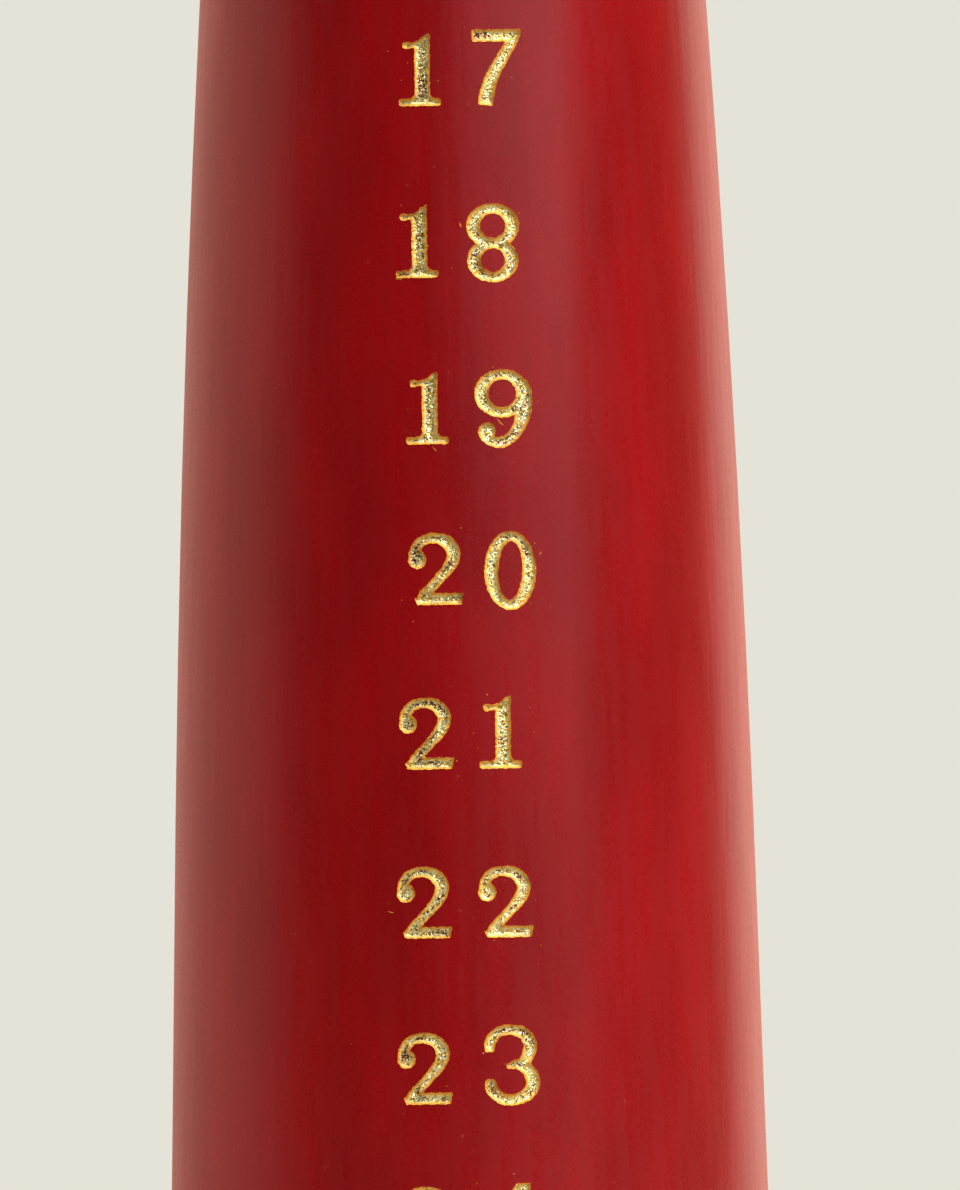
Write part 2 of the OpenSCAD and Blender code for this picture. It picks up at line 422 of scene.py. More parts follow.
def profile_wire(wax):
    """The coat's seam alone, as a closed wire whose outer side is cut into short rows."""
    coat = copy_of("red_coat", "dipped_coat")
    select_where(coat, lambda v: not on_seam(v.co))
    bpy.ops.mesh.delete(type='VERT')
    bpy.ops.object.mode_set(mode='OBJECT')

    def is_long(edge):
        low, high = (coat.data.vertices[i].co for i in edge.vertices)
        return (high - low).length > wax.row and depth_of((low + high) / 2) < GROOVE_FLOOR

    while select_where(coat, is_long, "edges"):
        bpy.ops.mesh.subdivide(number_cuts=1)
        bpy.ops.object.mode_set(mode='OBJECT')
    bpy.ops.object.mode_set(mode='OBJECT')
    return coat


def spun_coat(wax):
    """Spins the seam round the axis, finely past the numbers and coarsely round the back."""
    coat = profile_wire(wax)
    coat.data.transform(Matrix.Rotation(FRONT + wax.front_angle / 2, 4, 'Z'))
    edit(coat)
    bpy.ops.mesh.select_all(action='SELECT')
    arcs = ((wax.front_steps, wax.front_angle), (wax.back_steps, 2 * math.pi - wax.front_angle))
    for steps, angle in arcs:
        bpy.ops.mesh.spin(steps=steps, angle=angle, center=(0, 0, 0), axis=(0, 0, 1))
    outward(coat)
    return coat


def dip_waves(coat, wave):
    """Lets the outer side stray inwards a little, as a dipped surface does."""
    def place(co):
        radius = math.hypot(co.x, co.y)
        if side_radius(co.z) - radius > GROOVE_FLOOR or co.z >= CLIMB_TOP:
            return co
        share = 1 - wave_depth(co, wave) / radius
        return Vector((co.x * share, co.y * share, co.z))
    move_points(coat, place)


def put_at_depth(co, depth, wave=0):
    """The point straight ahead or behind, along Y, at a depth under the wax surface."""
    radius = surface_radius(co, wave) - depth
    return Vector((co.x, -math.sqrt(max(radius * radius - co.x * co.x, 0)), co.z))


def number_block(day, name, front_depth, back_depth, wave=0):
    """A copy of a day's foil stretched from one depth under the wax surface to another."""
    block = copy_of(numeral_node(day), name)
    middle = (FOIL_FRONT + GROOVE_FLOOR) / 2

    def place(co):
        return put_at_depth(co, front_depth if depth_of(co) < middle else back_depth, wave)

    move_points(block, place)
    return block


def groove_cutter():
    """All the grooves as one solid, which reaches well out of the wax."""
    proud = 1 * MM
    cutters = [number_block(day, f"cutter_{day:02d}", -proud, GROOVE_FLOOR) for day in DAYS]
    return join(cutters, "groove_cutter")


def cut_grooves(coat):
    """Cuts the day numbers into the coat."""
    cutter = groove_cutter()
    take(coat)
    cut = coat.modifiers.new("grooves", 'BOOLEAN')
    cut.operation = 'DIFFERENCE'
    cut.solver = 'MANIFOLD'
    cut.object = cutter
    whole = len(coat.data.polygons)
    bpy.ops.object.modifier_apply(modifier=cut.name)
    bpy.data.objects.remove(cutter, do_unlink=True)
    if len(coat.data.polygons) <= whole:
        raise RuntimeError("the grooves weren't cut")


def smooth_skin(coat, uncut):
    """Gives the cut coat's skin the uncut coat's normals, so that it shades as one surface."""
    skin = coat.vertex_groups.new(name="skin")
    skin_depth = GROOVE_FLOOR / 3
    on_skin = [v.index for v in coat.data.vertices if depth_of(v.co) < skin_depth]
    skin.add(on_skin, 1, 'REPLACE')
    take(coat)
    transfer = coat.modifiers.new("skin", 'DATA_TRANSFER')
    transfer.object = uncut
    transfer.use_loop_data = True
    transfer.data_types_loops = {'CUSTOM_NORMAL'}
    transfer.loop_mapping = 'POLYINTERP_NEAREST'
    transfer.vertex_group = skin.name
    bpy.ops.object.modifier_apply(modifier=transfer.name)
    coat.vertex_groups.clear()
    bpy.data.objects.remove(uncut, do_unlink=True)


# Shaping the foil

SLIVER = 0.0001 * MM * MM
EDGE_BAND = 0.25 * MM
FINE_CREASE = 0.16 * MM
WIDE_CREASE = 0.45 * MM
RAGGED_SIZE = 0.17 * MM

# The power by which the foil's wall curves, and shares of the way from its rim to its back
WALL_CURVE = 1.9
FRONT_LAYER = 0.3
BACK_LAYER = 0.7

CHIP_SUNK = 0.02 * MM
CHIP_PROUD = 0.025 * MM
CHIP_RAGGED = 0.3
HAIR_W = 0.045 * MM
HAIR_BEND = 0.25

# Hairs of foil beside the numbers, by day: right of and above the number's middle, length, and
# turn from level in degrees, the lengths in millimetres
HAIRS = {
    18: [(-3.9, -2.3, 0.5, 20), (0.2, 1.2, 0.35, 70)],
    19: [(-2.34, -2.58, 0.45, 50), (2.02, -0.91, 0.6, 48)],
    20: [(4.5, 1.1, 0.4, -60), (-2.6, 2.5, 0.35, 30), (-3.4, -1.2, 0.3, -50)],
    22: [(-4.9, -0.6, 0.45, 15)],
}


def outline_tree(block, step):
    """The outline of a day's number as points in the XZ plane, for distances to its edge."""
    shape = bmesh.new()
    shape.from_mesh(block.data)
    points = []
    walls = [face for face in shape.faces if abs(face.normal.y) < 0.5 and face.calc_area() > SLIVER]
    for edge in {edge for face in walls for edge in face.edges}:
        low, high = (v.co for v in edge.verts)
        cuts = max(1, math.ceil((high - low).length / step))
        points += [low.lerp(high, i / cuts) for i in range(cuts + 1)]
    shape.free()
    tree = KDTree(len(points))
    for i, point in enumerate(points):
        tree.insert((point.x, 0, point.z), i)
    tree.balance()
    return tree


def remesh(piece, voxel):
    """Remeshes a piece evenly. Its lengths are in millimetres while that runs."""
    piece.data.transform(Matrix.Scale(1 / MM, 4))
    take(piece)
    piece.data.remesh_voxel_size = voxel / MM
    piece.data.use_remesh_preserve_volume = False
    bpy.ops.object.voxel_remesh()
    piece.data.transform(Matrix.Scale(MM, 4))


def jitter(co, size, seed):
    """A smooth random vector in the XZ plane, whose pattern has the given size."""
    place = co / size + Vector((seed, 3 * seed, 5 * seed))
    return Vector((noise.noise(place), 0, noise.noise(-place)))


def press_foil(piece, tree, day, foil, wave):
    """Presses the foil's front into the groove, and marks how far in each point lies, in walls."""
    walls_in = piece.data.attributes.new("walls_in", 'FLOAT', 'POINT')
    normals = [vertex.normal.copy() for vertex in piece.data.vertices]
    for i, (vertex, normal) in enumerate(zip(piece.data.vertices, normals)):
        co = vertex.co.copy()
        inside = tree.find((co.x, 0, co.z))[2]
        near = 1 - smooth(0, EDGE_BAND, inside)
        sunk = surface_radius(co, wave) - math.hypot(co.x, co.y)
        down = (sunk + foil.rim) / (FOIL_BACK + foil.rim)
        if down < FRONT_LAYER and normal.y < 0:
            share = min(max(inside - foil.lap, 0) / foil.wall, 1)
            depth = (foil.dip + foil.rim) * (1 - (1 - share) ** WALL_CURVE) - foil.rim
            creased = (1 - near) * foil.crinkle
            depth += creased * noise.noise(co / FINE_CREASE + Vector((0, 0, day)))
            depth += creased * noise.noise(co / WIDE_CREASE + Vector((9, 0, day)))
            co = put_at_depth(co, depth, wave)
        lap = foil.lap * near * (1 - smooth(FRONT_LAYER, BACK_LAYER, down))
        stray = jitter(co, RAGGED_SIZE, day) * foil.ragged * near + normal * lap
        vertex.co = co + Vector((stray.x, 0, stray.z))
        walls_in.data[i].value = inside / foil.wall
    piece.data.update()


def chip(name, middle, size, turn, bend, seed, wave):
    """A crumb or hair of foil on the wax: a thin closed chip that follows the surface."""
    bpy.ops.mesh.primitive_circle_add(
        vertices=8, radius=0.5, fill_type='NGON', enter_editmode=True,
        location=(0, 0, 0), rotation=(math.radians(90), 0, 0))
    bpy.ops.mesh.extrude_region_move(TRANSFORM_OT_translate={"value": (0, 1, 0)})
    bpy.ops.object.mode_set(mode='OBJECT')
    bpy.ops.object.transform_apply(location=True, rotation=True, scale=True)
    piece = bpy.context.object
    piece.name = name
    length, width = size
    around = Matrix.Rotation(turn, 3, 'Y')
    behind = sum(v.co.y for v in piece.data.vertices) / len(piece.data.vertices)

    def place(co):
        flat = Vector((co.x * length, 0, co.z * width + bend * length * co.x * co.x))
        stray = CHIP_RAGGED * width * noise.noise(co * 3 + Vector((seed, 0, 0)))
        flat += Vector((1, 0, 1)) * stray
        depth = CHIP_SUNK if co.y > behind else -CHIP_PROUD
        return put_at_depth(middle + around @ flat, depth, wave)

    move_points(piece, place)
    outward(piece)
    return piece


def foil_crumbs(day, foil, wave):
    """Crumbs of foil that the stamp scattered round a number, and its hairs."""
    rng = random.Random(day)
    low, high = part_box(numeral_node(day))
    reach = Vector((0.9, 0, 0.7)) * MM
    crumbs = []
    for i in range(foil.crumbs):
        spot = Vector([rng.uniform(a, b) for a, b in zip(low - reach, high + reach)])
        size = rng.uniform(0.025, 0.07) * MM
        sizes = (size * rng.uniform(1, 1.8), size)
        turn, seed = rng.uniform(0, 3), rng.random()
        crumbs.append(chip(f"crumb_{day}_{i}", spot, sizes, turn, 0, seed, wave))
    for i, (right, up, length, turn) in enumerate(HAIRS.get(day, ())):
        spot = (low + high) / 2 + Vector((right, 0, up)) * MM
        sizes = (length * MM, HAIR_W)
        crumbs.append(chip(f"hair_{day}_{i}", spot, sizes, math.radians(turn), HAIR_BEND, i, wave))
    return crumbs


def foil_number(day, foil, wax):
    """One day's number in gold foil, crinkled and pressed into its groove."""
    piece = number_block(day, f"foil_{day:02d}", -foil.rim, FOIL_BACK, wax.wave)
    tree = outline_tree(piece, foil.voxel / 2)
    remesh(piece, foil.voxel)
    press_foil(piece, tree, day, foil, wax.wave)
    take(piece)
    bpy.ops.object.shade_smooth()
    return join([piece, *foil_crumbs(day, foil, wax.wave)], piece.name)


# Braiding the wick

# Lengths along the wick are counted from where it leaves the wax
BRAID_LOW = -0.8 * MM
BRAID_R = 0.62 * WICK_R
BRAID_CREASE = math.radians(50)
STRAND_R = 0.27 * WICK_R
STRAND_STEP = 0.16 * MM
WEAVE = 0.09 * WICK_R
LOOSE = 0.16 * MM
LOOSE_LENGTH = 1.2 * MM
FILLING_R = 0.6 * WICK_R
FILLING_STEPS = 24

FIBRE_R = 0.025 * MM
FIBRE_ROOT = 0.3 * MM
FIBRE_REACH = 0.95 * MM
FIBRE_SEED = 26

CORD_R = 0.97 * WICK_R
LOBES = 12
LOBE_DEPTH = 0.05
CUT_INSET = 0.25 * MM
CUT_HOLLOW = 0.05 * MM


def wick_point(length, bend_r):
    """A point on the wick's middle line and the lean there, by its length above the wax."""
    lean = max(length, 0) / bend_r
    middle = Vector((bend_r * (math.cos(lean) - 1), 0, CLIMB_TOP + bend_r * math.sin(lean)))
    return middle + Vector((0, 0, min(length, 0))), lean


def thread(name, points, radius):
    """A round thread along points, as a mesh."""
    curve = bpy.data.curves.new(name, 'CURVE')
    curve.dimensions = '3D'
    curve.bevel_depth = radius
    curve.bevel_resolution = 2
    curve.use_fill_caps = True
    spline = curve.splines.new('POLY')
    spline.points.add(len(points) - 1)
    for point, place in zip(spline.points, points):
        point.co = (*place, 1)
    piece = bpy.data.objects.new(name, curve)
    bpy.context.collection.objects.link(piece)
    take(piece)
    bpy.ops.object.convert(target='MESH')
    return bpy.context.object


def strand(name, start, way, wick, low, high):
    """One strand of the braid, which goes over and under those that turn the other way."""
    points = []
    for i in range(int((high - low) / STRAND_STEP) + 1):
        length = low + i * STRAND_STEP
        around = length / wick.pitch * 2 * math.pi
        weave = way * WEAVE * math.cos(wick.strands * around)
        loose = LOOSE * smooth(high - LOOSE_LENGTH, high, length)
        turn = start + way * around
        middle, lean = wick_point(length, wick.bend_r)
        flat = Vector((math.cos(turn), math.sin(turn), 0)) * (BRAID_R + weave + loose)
        points.append(middle + Matrix.Rotation(-lean, 3, 'Y') @ flat)
    return thread(name, points, STRAND_R)


def frayed_ends(wick, high):
    """Fine fibres that stand loose at the wick's tip."""
    rng = random.Random(FIBRE_SEED)
    ends = []
    for i in range(wick.fibres):
        turn = rng.uniform(0, 2 * math.pi)
        start_r, spread = rng.uniform(0.2, 0.8) * WICK_R, rng.uniform(0.1, 0.5) * MM
        reach, curl = rng.uniform(0.5, 1.1) * MM, rng.uniform(-1, 1)
        points = []
        for share in (0, 0.25, 0.5, 0.75, 1):
            middle, lean = wick_point(high - FIBRE_ROOT + reach * share, wick.bend_r)
            way = turn + curl * share * share
            flat = Vector((math.cos(way), math.sin(way), 0)) * (start_r + spread * share * share)
            points.append(middle + Matrix.Rotation(-lean, 3, 'Y') @ flat)
        ends.append(thread(f"fibre_{i}", points, FIBRE_R))
    return ends


def buried_wick(top):
    """The part of the wick inside the wax: a lobed cord whose cut end shows in the foot."""
    bpy.ops.mesh.primitive_cylinder_add(
        vertices=LOBES * 4, radius=CORD_R, depth=top, location=(0, 0, top / 2))
    bpy.ops.object.transform_apply(location=True, rotation=True, scale=True)
    cord = bpy.context.object
    select_where(cord, lambda face: face.normal.z < -0.5, "polygons")
    bpy.ops.mesh.inset(thickness=CUT_INSET)
    bpy.ops.mesh.poke()
    bpy.ops.transform.translate(value=(0, 0, CUT_HOLLOW))
    bpy.ops.object.mode_set(mode='OBJECT')

    def place(co):
        lobe = 1 - LOBE_DEPTH * (1 - math.cos(LOBES * math.atan2(co.y, co.x))) / 2
        return Vector((co.x * lobe, co.y * lobe, co.z))

    move_points(cord, place)
    return cord


def braid(wick):
    """The whole wick: buried cord, braided free end, a core that fills it, and frayed fibres."""
    low, high = BRAID_LOW, (WICK_HIGH.z - CLIMB_TOP) - FIBRE_REACH
    parts = [buried_wick(CLIMB_TOP + low / 2)]
    lengths = [low + (high - low) * i / FILLING_STEPS for i in range(FILLING_STEPS + 1)]
    filling = [wick_point(length, wick.bend_r)[0] for length in lengths]
    parts.append(thread("filling", filling, FILLING_R))
    for i in range(wick.strands):
        start = 2 * math.pi * i / wick.strands
        parts.append(strand(f"right_strand_{i}", start, 1, wick, low, high))
        parts.append(strand(f"left_strand_{i}", start, -1, wick, low, high))
    return join(parts + frayed_ends(wick, high), "braided_wick")


# Materials

DUST = srgb(226, 120, 100)
CORE_CLOUD = srgb(222, 206, 172)
# Painted shade in the core's small holes
CORE_HOLE_SHADE = srgb(176, 150, 112)
# Painted shade between the wick's fibres
COTTON_SHADE = srgb(206, 190, 158)
FADE_START = 0.25

# Arcs round the candle are counted from the camera, positive to its right
TABLE_ARC = (math.radians(30), math.radians(75))
BEHIND_ARC = (math.radians(150), math.pi)


def is_output(value):
    return isinstance(value, bpy.types.NodeSocket)


def fill(tree, node, inputs):
    """Sets a node's inputs. Each is a value, or another node's output to link."""
    for name, value in inputs.items():
        socket = node.inputs[name]
        if is_output(value):
            tree.links.new(value, socket)
        else:
            socket.default_value = value


def add(tree, kind, inputs=None, **settings):
    """Adds a shader node."""
    new = tree.nodes.new("ShaderNode" + kind)
    for name, value in settings.items():
        setattr(new, name, value)
    fill(tree, new, inputs or {})
    return new


def math_node(tree, operation, first, second=0.0):
    return add(tree, "Math", {0: first, 1: second}, operation=operation).outputs[0]


def mix_colours(tree, share, *colours):
    """Mixes two colours. Share is a mask or a number."""
    first, second = (colour if is_output(colour) else opaque(colour) for colour in colours)
    return add(tree, "Mix", {0: share, 6: first, 7: second}, data_type='RGBA').outputs[2]


def ranged(tree, value, low, high, to_low=0.0, to_high=1.0):
    """Maps a value smoothly from one range to another."""
    return add(tree, "MapRange", {
        "Value": value, "From Min": low, "From Max": high, "To Min": to_low, "To Max": to_high,
    }, interpolation_type='SMOOTHSTEP').outputs["Result"]


def new_group(name, inputs, outputs):
    """An empty shader node group with float or vector inputs and float outputs."""
    group = bpy.data.node_groups.new(name, 'ShaderNodeTree')
    for label, default in inputs.items():
        kind = 'NodeSocketVector' if default is None else 'NodeSocketFloat'
        socket = group.interface.new_socket(label, in_out='INPUT', socket_type=kind)
        if default is not None:
            socket.default_value = default
    for label in outputs:
        group.interface.new_socket(label, in_out='OUTPUT', socket_type='NodeSocketFloat')
    given, out = group.nodes.new('NodeGroupInput'), group.nodes.new('NodeGroupOutput')
    return group, given.outputs, out.inputs


def scaled(tree, vector, size):
    """Divides coordinates by a pattern's size."""
    return add(tree, "VectorMath", {0: vector, 3: math_node(tree, 'DIVIDE', 1.0, size)},
               operation='SCALE').outputs[0]


def mottle_group():
    """Cloudy variation, drawn out along Z where Stretch is over 1."""
    tree, given, out = new_group(
        "Mottle", {"Vector": None, "Size": 1 * MM, "Stretch": 1.0, "Detail": 3.0}, ["Mask"])
    parts = add(tree, "SeparateXYZ", {0: given["Vector"]}).outputs
    lower = math_node(tree, 'DIVIDE', parts[2], given["Stretch"])
    drawn = add(tree, "CombineXYZ", {0: parts[0], 1: parts[1], 2: lower}).outputs[0]
    cloud = add(tree, "TexNoise", {
        "Vector": scaled(tree, drawn, given["Size"]), "Scale": 1.0, "Detail": given["Detail"]})
    tree.links.new(ranged(tree, cloud.outputs["Fac"], 0.3, 0.7), out["Mask"])
    return tree


def speckle_group():
    """Small scattered spots. Amount is the share of cells that hold one."""
    tree, given, out = new_group(
        "Speckle", {"Vector": None, "Size": 1 * MM, "Amount": 0.2, "Width": 0.3}, ["Mask"])
    place = scaled(tree, given["Vector"], given["Size"])
    wobble = add(tree, "TexNoise", {"Vector": place, "Scale": 2.5, "Detail": 2.0}).outputs["Color"]
    bent = add(tree, "VectorMath", {0: place, 1: wobble}, operation='ADD').outputs[0]
    cells = add(tree, "TexVoronoi", {"Vector": bent, "Scale": 1.0})
    spot = math_node(tree, 'LESS_THAN', cells.outputs["Distance"], given["Width"])
    chosen = math_node(tree, 'LESS_THAN', add(
        tree, "SeparateColor", {0: cells.outputs["Color"]}).outputs[0], given["Amount"])
    tree.links.new(math_node(tree, 'MULTIPLY', spot, chosen), out["Mask"])
    return tree


def facets_group():
    """Crumpled foil: small flat facets that lean every way, each with a tone of its own."""
    tree, given, out = new_group("Facets", {"Vector": None, "Size": 1 * MM}, ["Height", "Tone"])
    place = scaled(tree, given["Vector"], given["Size"])
    wobble = add(tree, "TexNoise", {"Vector": place, "Scale": 0.8, "Detail": 2.0}).outputs["Color"]
    bent = add(tree, "VectorMath", {0: place, 1: wobble}, operation='ADD').outputs[0]
    cells = add(tree, "TexVoronoi", {"Vector": bent, "Scale": 1.0})
    tree.links.new(cells.outputs["Distance"], out["Height"])
    tone = add(tree, "SeparateColor", {0: cells.outputs["Color"]}).outputs[0]
    tree.links.new(tone, out["Tone"])
    return tree


def use(tree, group, output, **inputs):
    """Places a node group and gives one of its outputs."""
    return add(tree, "Group", inputs, node_tree=group).outputs[output]


def new_material(name):
    """A material whose Principled shader is still bare, with its object coordinates."""
    material = bpy.data.materials.new(name)
    material.use_nodes = True
    tree = material.node_tree
    shader = tree.nodes["Principled BSDF"]
    return material, tree, shader, add(tree, "TexCoord").outputs["Object"]


def bump(tree, height, distance):
    return add(tree, "Bump", {"Height": height, "Distance": distance}).outputs["Normal"]


def red_wax_material(wax, groups):
    """Dyed wax: faint upright streaks, cloudy depth, dust, a pebbled gloss and a warm rim."""
    material, tree, shader, place = new_material("red_wax")
    streaks = use(tree, groups["mottle"], "Mask", Vector=place, Size=0.9 * MM, Stretch=9.0)
    clouds = use(tree, groups["mottle"], "Mask", Vector=place, Size=5 * MM, Stretch=3.0)
    pebbles = use(tree, groups["mottle"], "Mask", Vector=place, Size=0.22 * MM, Detail=2.0)
    dust = use(tree, groups["speckle"], "Mask", Vector=place, Size=0.9 * MM, Amount=0.05,
               Width=0.07)
    colour = mix_colours(tree, clouds, wax.deep_red, wax.red)
    colour = mix_colours(tree, math_node(tree, 'MULTIPLY', streaks, 0.3), colour, wax.deep_red)
    colour = mix_colours(tree, math_node(tree, 'MULTIPLY', dust, 0.35), colour, DUST)
    rough = math_node(tree, 'ADD', ranged(tree, streaks, 0, 1, 0.24, 0.29),
                      math_node(tree, 'MULTIPLY', pebbles, 0.05))
    height = math_node(tree, 'ADD', math_node(tree, 'MULTIPLY', pebbles, 0.08),
                       math_node(tree, 'MULTIPLY', streaks, 0.6))
    fill(tree, shader, {
        "Base Color": colour,
        "Roughness": rough,
        "Normal": bump(tree, height, 0.012 * MM),
        "IOR": 1.45,
        "Subsurface Weight": 0.12,
        "Subsurface Radius": (1.0, 0.12, 0.1),
        "Subsurface Scale": 0.6 * MM,
        "Sheen Weight": 0.5,
        "Sheen Roughness": 0.45,
        "Sheen Tint": opaque(wax.glow),
    })
    return material


def core_wax_material(wax, groups):
    """Undyed wax: cloudy, with crystals and small holes where the candle was cut to length, the
    holes darkened with painted shade.
    """
    material, tree, shader, place = new_material("core_wax")
    clouds = use(tree, groups["mottle"], "Mask", Vector=place, Size=3 * MM)
    crystals = use(tree, groups["mottle"], "Mask", Vector=place, Size=0.5 * MM, Detail=5.0)
    holes = use(tree, groups["speckle"], "Mask", Vector=place, Size=2 * MM, Amount=0.2, Width=0.12)
    colour = mix_colours(tree, clouds, wax.core, CORE_CLOUD)
    # The holes are sunk by the bump and darkened with painted shade
    colour = mix_colours(tree, math_node(tree, 'MULTIPLY', holes, 0.6), colour, CORE_HOLE_SHADE)
    height = math_node(tree, 'SUBTRACT', crystals, math_node(tree, 'MULTIPLY', holes, 2.0))
    fill(tree, shader, {
        "Base Color": colour,
        "Roughness": ranged(tree, crystals, 0, 1, 0.42, 0.62),
        "Normal": bump(tree, height, 0.05 * MM),
        "Subsurface Weight": 0.25,
        "Subsurface Radius": (1.0, 0.8, 0.5),
        "Subsurface Scale": 1.5 * MM,
    })
    return material


def foil_material(foil, groups):
    """Gold foil: crumpled into pale and dark facets, bare in specks, with painted shade in amber
    along its rim, in gold on its walls and in olive in its creases.
    """
    material, tree, shader, place = new_material("gold_foil")
    facets = add(tree, "Group", {"Vector": place, "Size": 0.11 * MM},
                 node_tree=groups["facets"]).outputs
    patches = use(tree, groups["mottle"], "Mask", Vector=place, Size=1.3 * MM, Detail=2.0)
    bare = use(tree, groups["speckle"], "Mask", Vector=place, Size=0.13 * MM, Amount=0.7,
               Width=0.55)
    walls_in = add(tree, "Attribute", attribute_name="walls_in").outputs["Fac"]
    floor = ranged(tree, walls_in, 0.35, 0.9, 0.5, 1.0)
    # Painted shade: the foil turns gold on the groove's walls near the rim
    painted_wall_shade = ranged(tree, walls_in, 0.25, 0.7, 0.9, 0.0)
    share = math_node(tree, 'MAXIMUM', ranged(tree, facets["Tone"], 0.4, 0.8), painted_wall_shade)
    colour = mix_colours(tree, share, foil.pale, foil.gold)
    # Painted shade: the darkest facets, most on the groove's floor, turn olive as if deep in
    # creases
    painted_crease_shade = math_node(tree, 'MULTIPLY', ranged(tree, facets["Tone"], 0.7, 0.98), floor)
    colour = mix_colours(tree, painted_crease_shade, colour, foil.olive)
    # Painted shade of the groove's walls: an amber band along the rim, broken up by the facets
    rim = ranged(tree, walls_in, 0.15, 0.5, 1.0, 0.0)
    ragged = math_node(tree, 'MULTIPLY', rim, ranged(tree, facets["Height"], 0.1, 0.7, 1.0, 0.7))
    colour = mix_colours(tree, ragged, colour, foil.amber)
    spots = math_node(tree, 'MULTIPLY', bare, ranged(tree, patches, 0.6, 0.85))
    spots = math_node(tree, 'MULTIPLY', spots, floor)
    fill(tree, shader, {
        "Base Color": mix_colours(tree, spots, colour, foil.speck),
        "Metallic": math_node(tree, 'MAXIMUM', ranged(tree, walls_in, 0.3, 1.1, 0.1, 0.8), painted_crease_shade),
        "Roughness": ranged(tree, facets["Tone"], 0, 1, 0.16, 0.32),
        "Normal": bump(tree, facets["Height"], 0.045 * MM),
    })
    return material


def cotton_material(wick, groups):
    """Cotton braid: fibres with painted shade between them, and dyed wax soaked up from the tip."""
    material, tree, shader, place = new_material("wick_cotton")
    fibres = use(tree, groups["mottle"], "Mask", Vector=place, Size=0.05 * MM, Stretch=6.0)
    patches = use(tree, groups["mottle"], "Mask", Vector=place, Size=0.8 * MM)
    height = add(tree, "SeparateXYZ", {0: place}).outputs[2]
    wandering = math_node(tree, 'ADD', height, math_node(tree, 'MULTIPLY', patches, 1.6 * MM))
    soaked = ranged(tree, wandering, CLIMB_TOP + 1.2 * MM, CLIMB_TOP + 3.6 * MM, 1.0, 0.0)
    dyed = ranged(tree, height, CLIMB_TOP - 6 * MM, CLIMB_TOP - 3 * MM)
    soaked = math_node(tree, 'MULTIPLY', soaked, dyed)
    # Painted shade between the fibres, along the fibre streaks
    fibre_shade = math_node(tree, 'MULTIPLY', fibres, 0.6)
    colour = mix_colours(tree, fibre_shade, wick.cotton, COTTON_SHADE)
    fill(tree, shader, {
        "Base Color": mix_colours(tree, soaked, colour, wick.waxed),
        "Roughness": ranged(tree, soaked, 0, 1, 0.9, 0.4),
        "Normal": bump(tree, fibres, 0.03 * MM),
    })
    return material


def azimuth_of(tree, toward):
    """Azimuth of a direction: 0 towards the camera, positive to its right, half a turn behind."""
    parts = add(tree, "SeparateXYZ", {0: toward}).outputs
    return math_node(tree, 'ARCTAN2', parts[0], math_node(tree, 'MULTIPLY', parts[1], -1.0))


def table_sector(tree, turn):
    """Mask of the side on which the wax mirrors the floor. It fades out behind the candle."""
    begins = ranged(tree, turn, *TABLE_ARC)
    return math_node(tree, 'MULTIPLY', begins, ranged(tree, turn, *BEHIND_ARC, 1.0, 0.0))


def floor_material(stage):
    """Plain pale floor that fades into the background towards its edge."""
    material, tree, shader, place = new_material("floor")
    tree.nodes.remove(shader)
    path = add(tree, "LightPath").outputs
    pale = add(tree, "BsdfDiffuse", {"Color": opaque(stage.floor_colour)})
    sector = table_sector(tree, azimuth_of(tree, place))
    mirrored = math_node(tree, 'MULTIPLY', path["Is Glossy Ray"], sector)
    glow = math_node(tree, 'ADD', path["Is Camera Ray"],
                     math_node(tree, 'MULTIPLY', mirrored, stage.table))
    far = add(tree, "Emission", {"Color": opaque(stage.background), "Strength": glow})
    away = add(tree, "VectorMath", {0: place}, operation='LENGTH').outputs["Value"]
    faded = ranged(tree, away, stage.floor_r * FADE_START, stage.floor_r)
    share = math_node(tree, 'MAXIMUM', faded, mirrored)
    mix = add(tree, "MixShader", {0: share, 1: pale.outputs[0], 2: far.outputs[0]})
    tree.links.new(mix.outputs[0], tree.nodes["Material Output"].inputs["Surface"])
    return material


# The stage

LEFT_ARC = (math.radians(-96), math.radians(-66))
RIGHT_ARC = (math.radians(119), math.radians(133))

# Heights of a direction, from -1 straight down to 1 straight up
LOW_RISE = (-0.1, 0.17)
HORIZON = (-0.09, 0.01)
BELOW = (-0.9, -0.5)

# Brightness as a share of what the stage's settings say
RIGHT_GAIN = 1.8
LOW_DIM = 0.75
TABLE_SHARE = 0.25

LAMP_FAR = 1.2
FOOT_LAP = 0.1 * MM


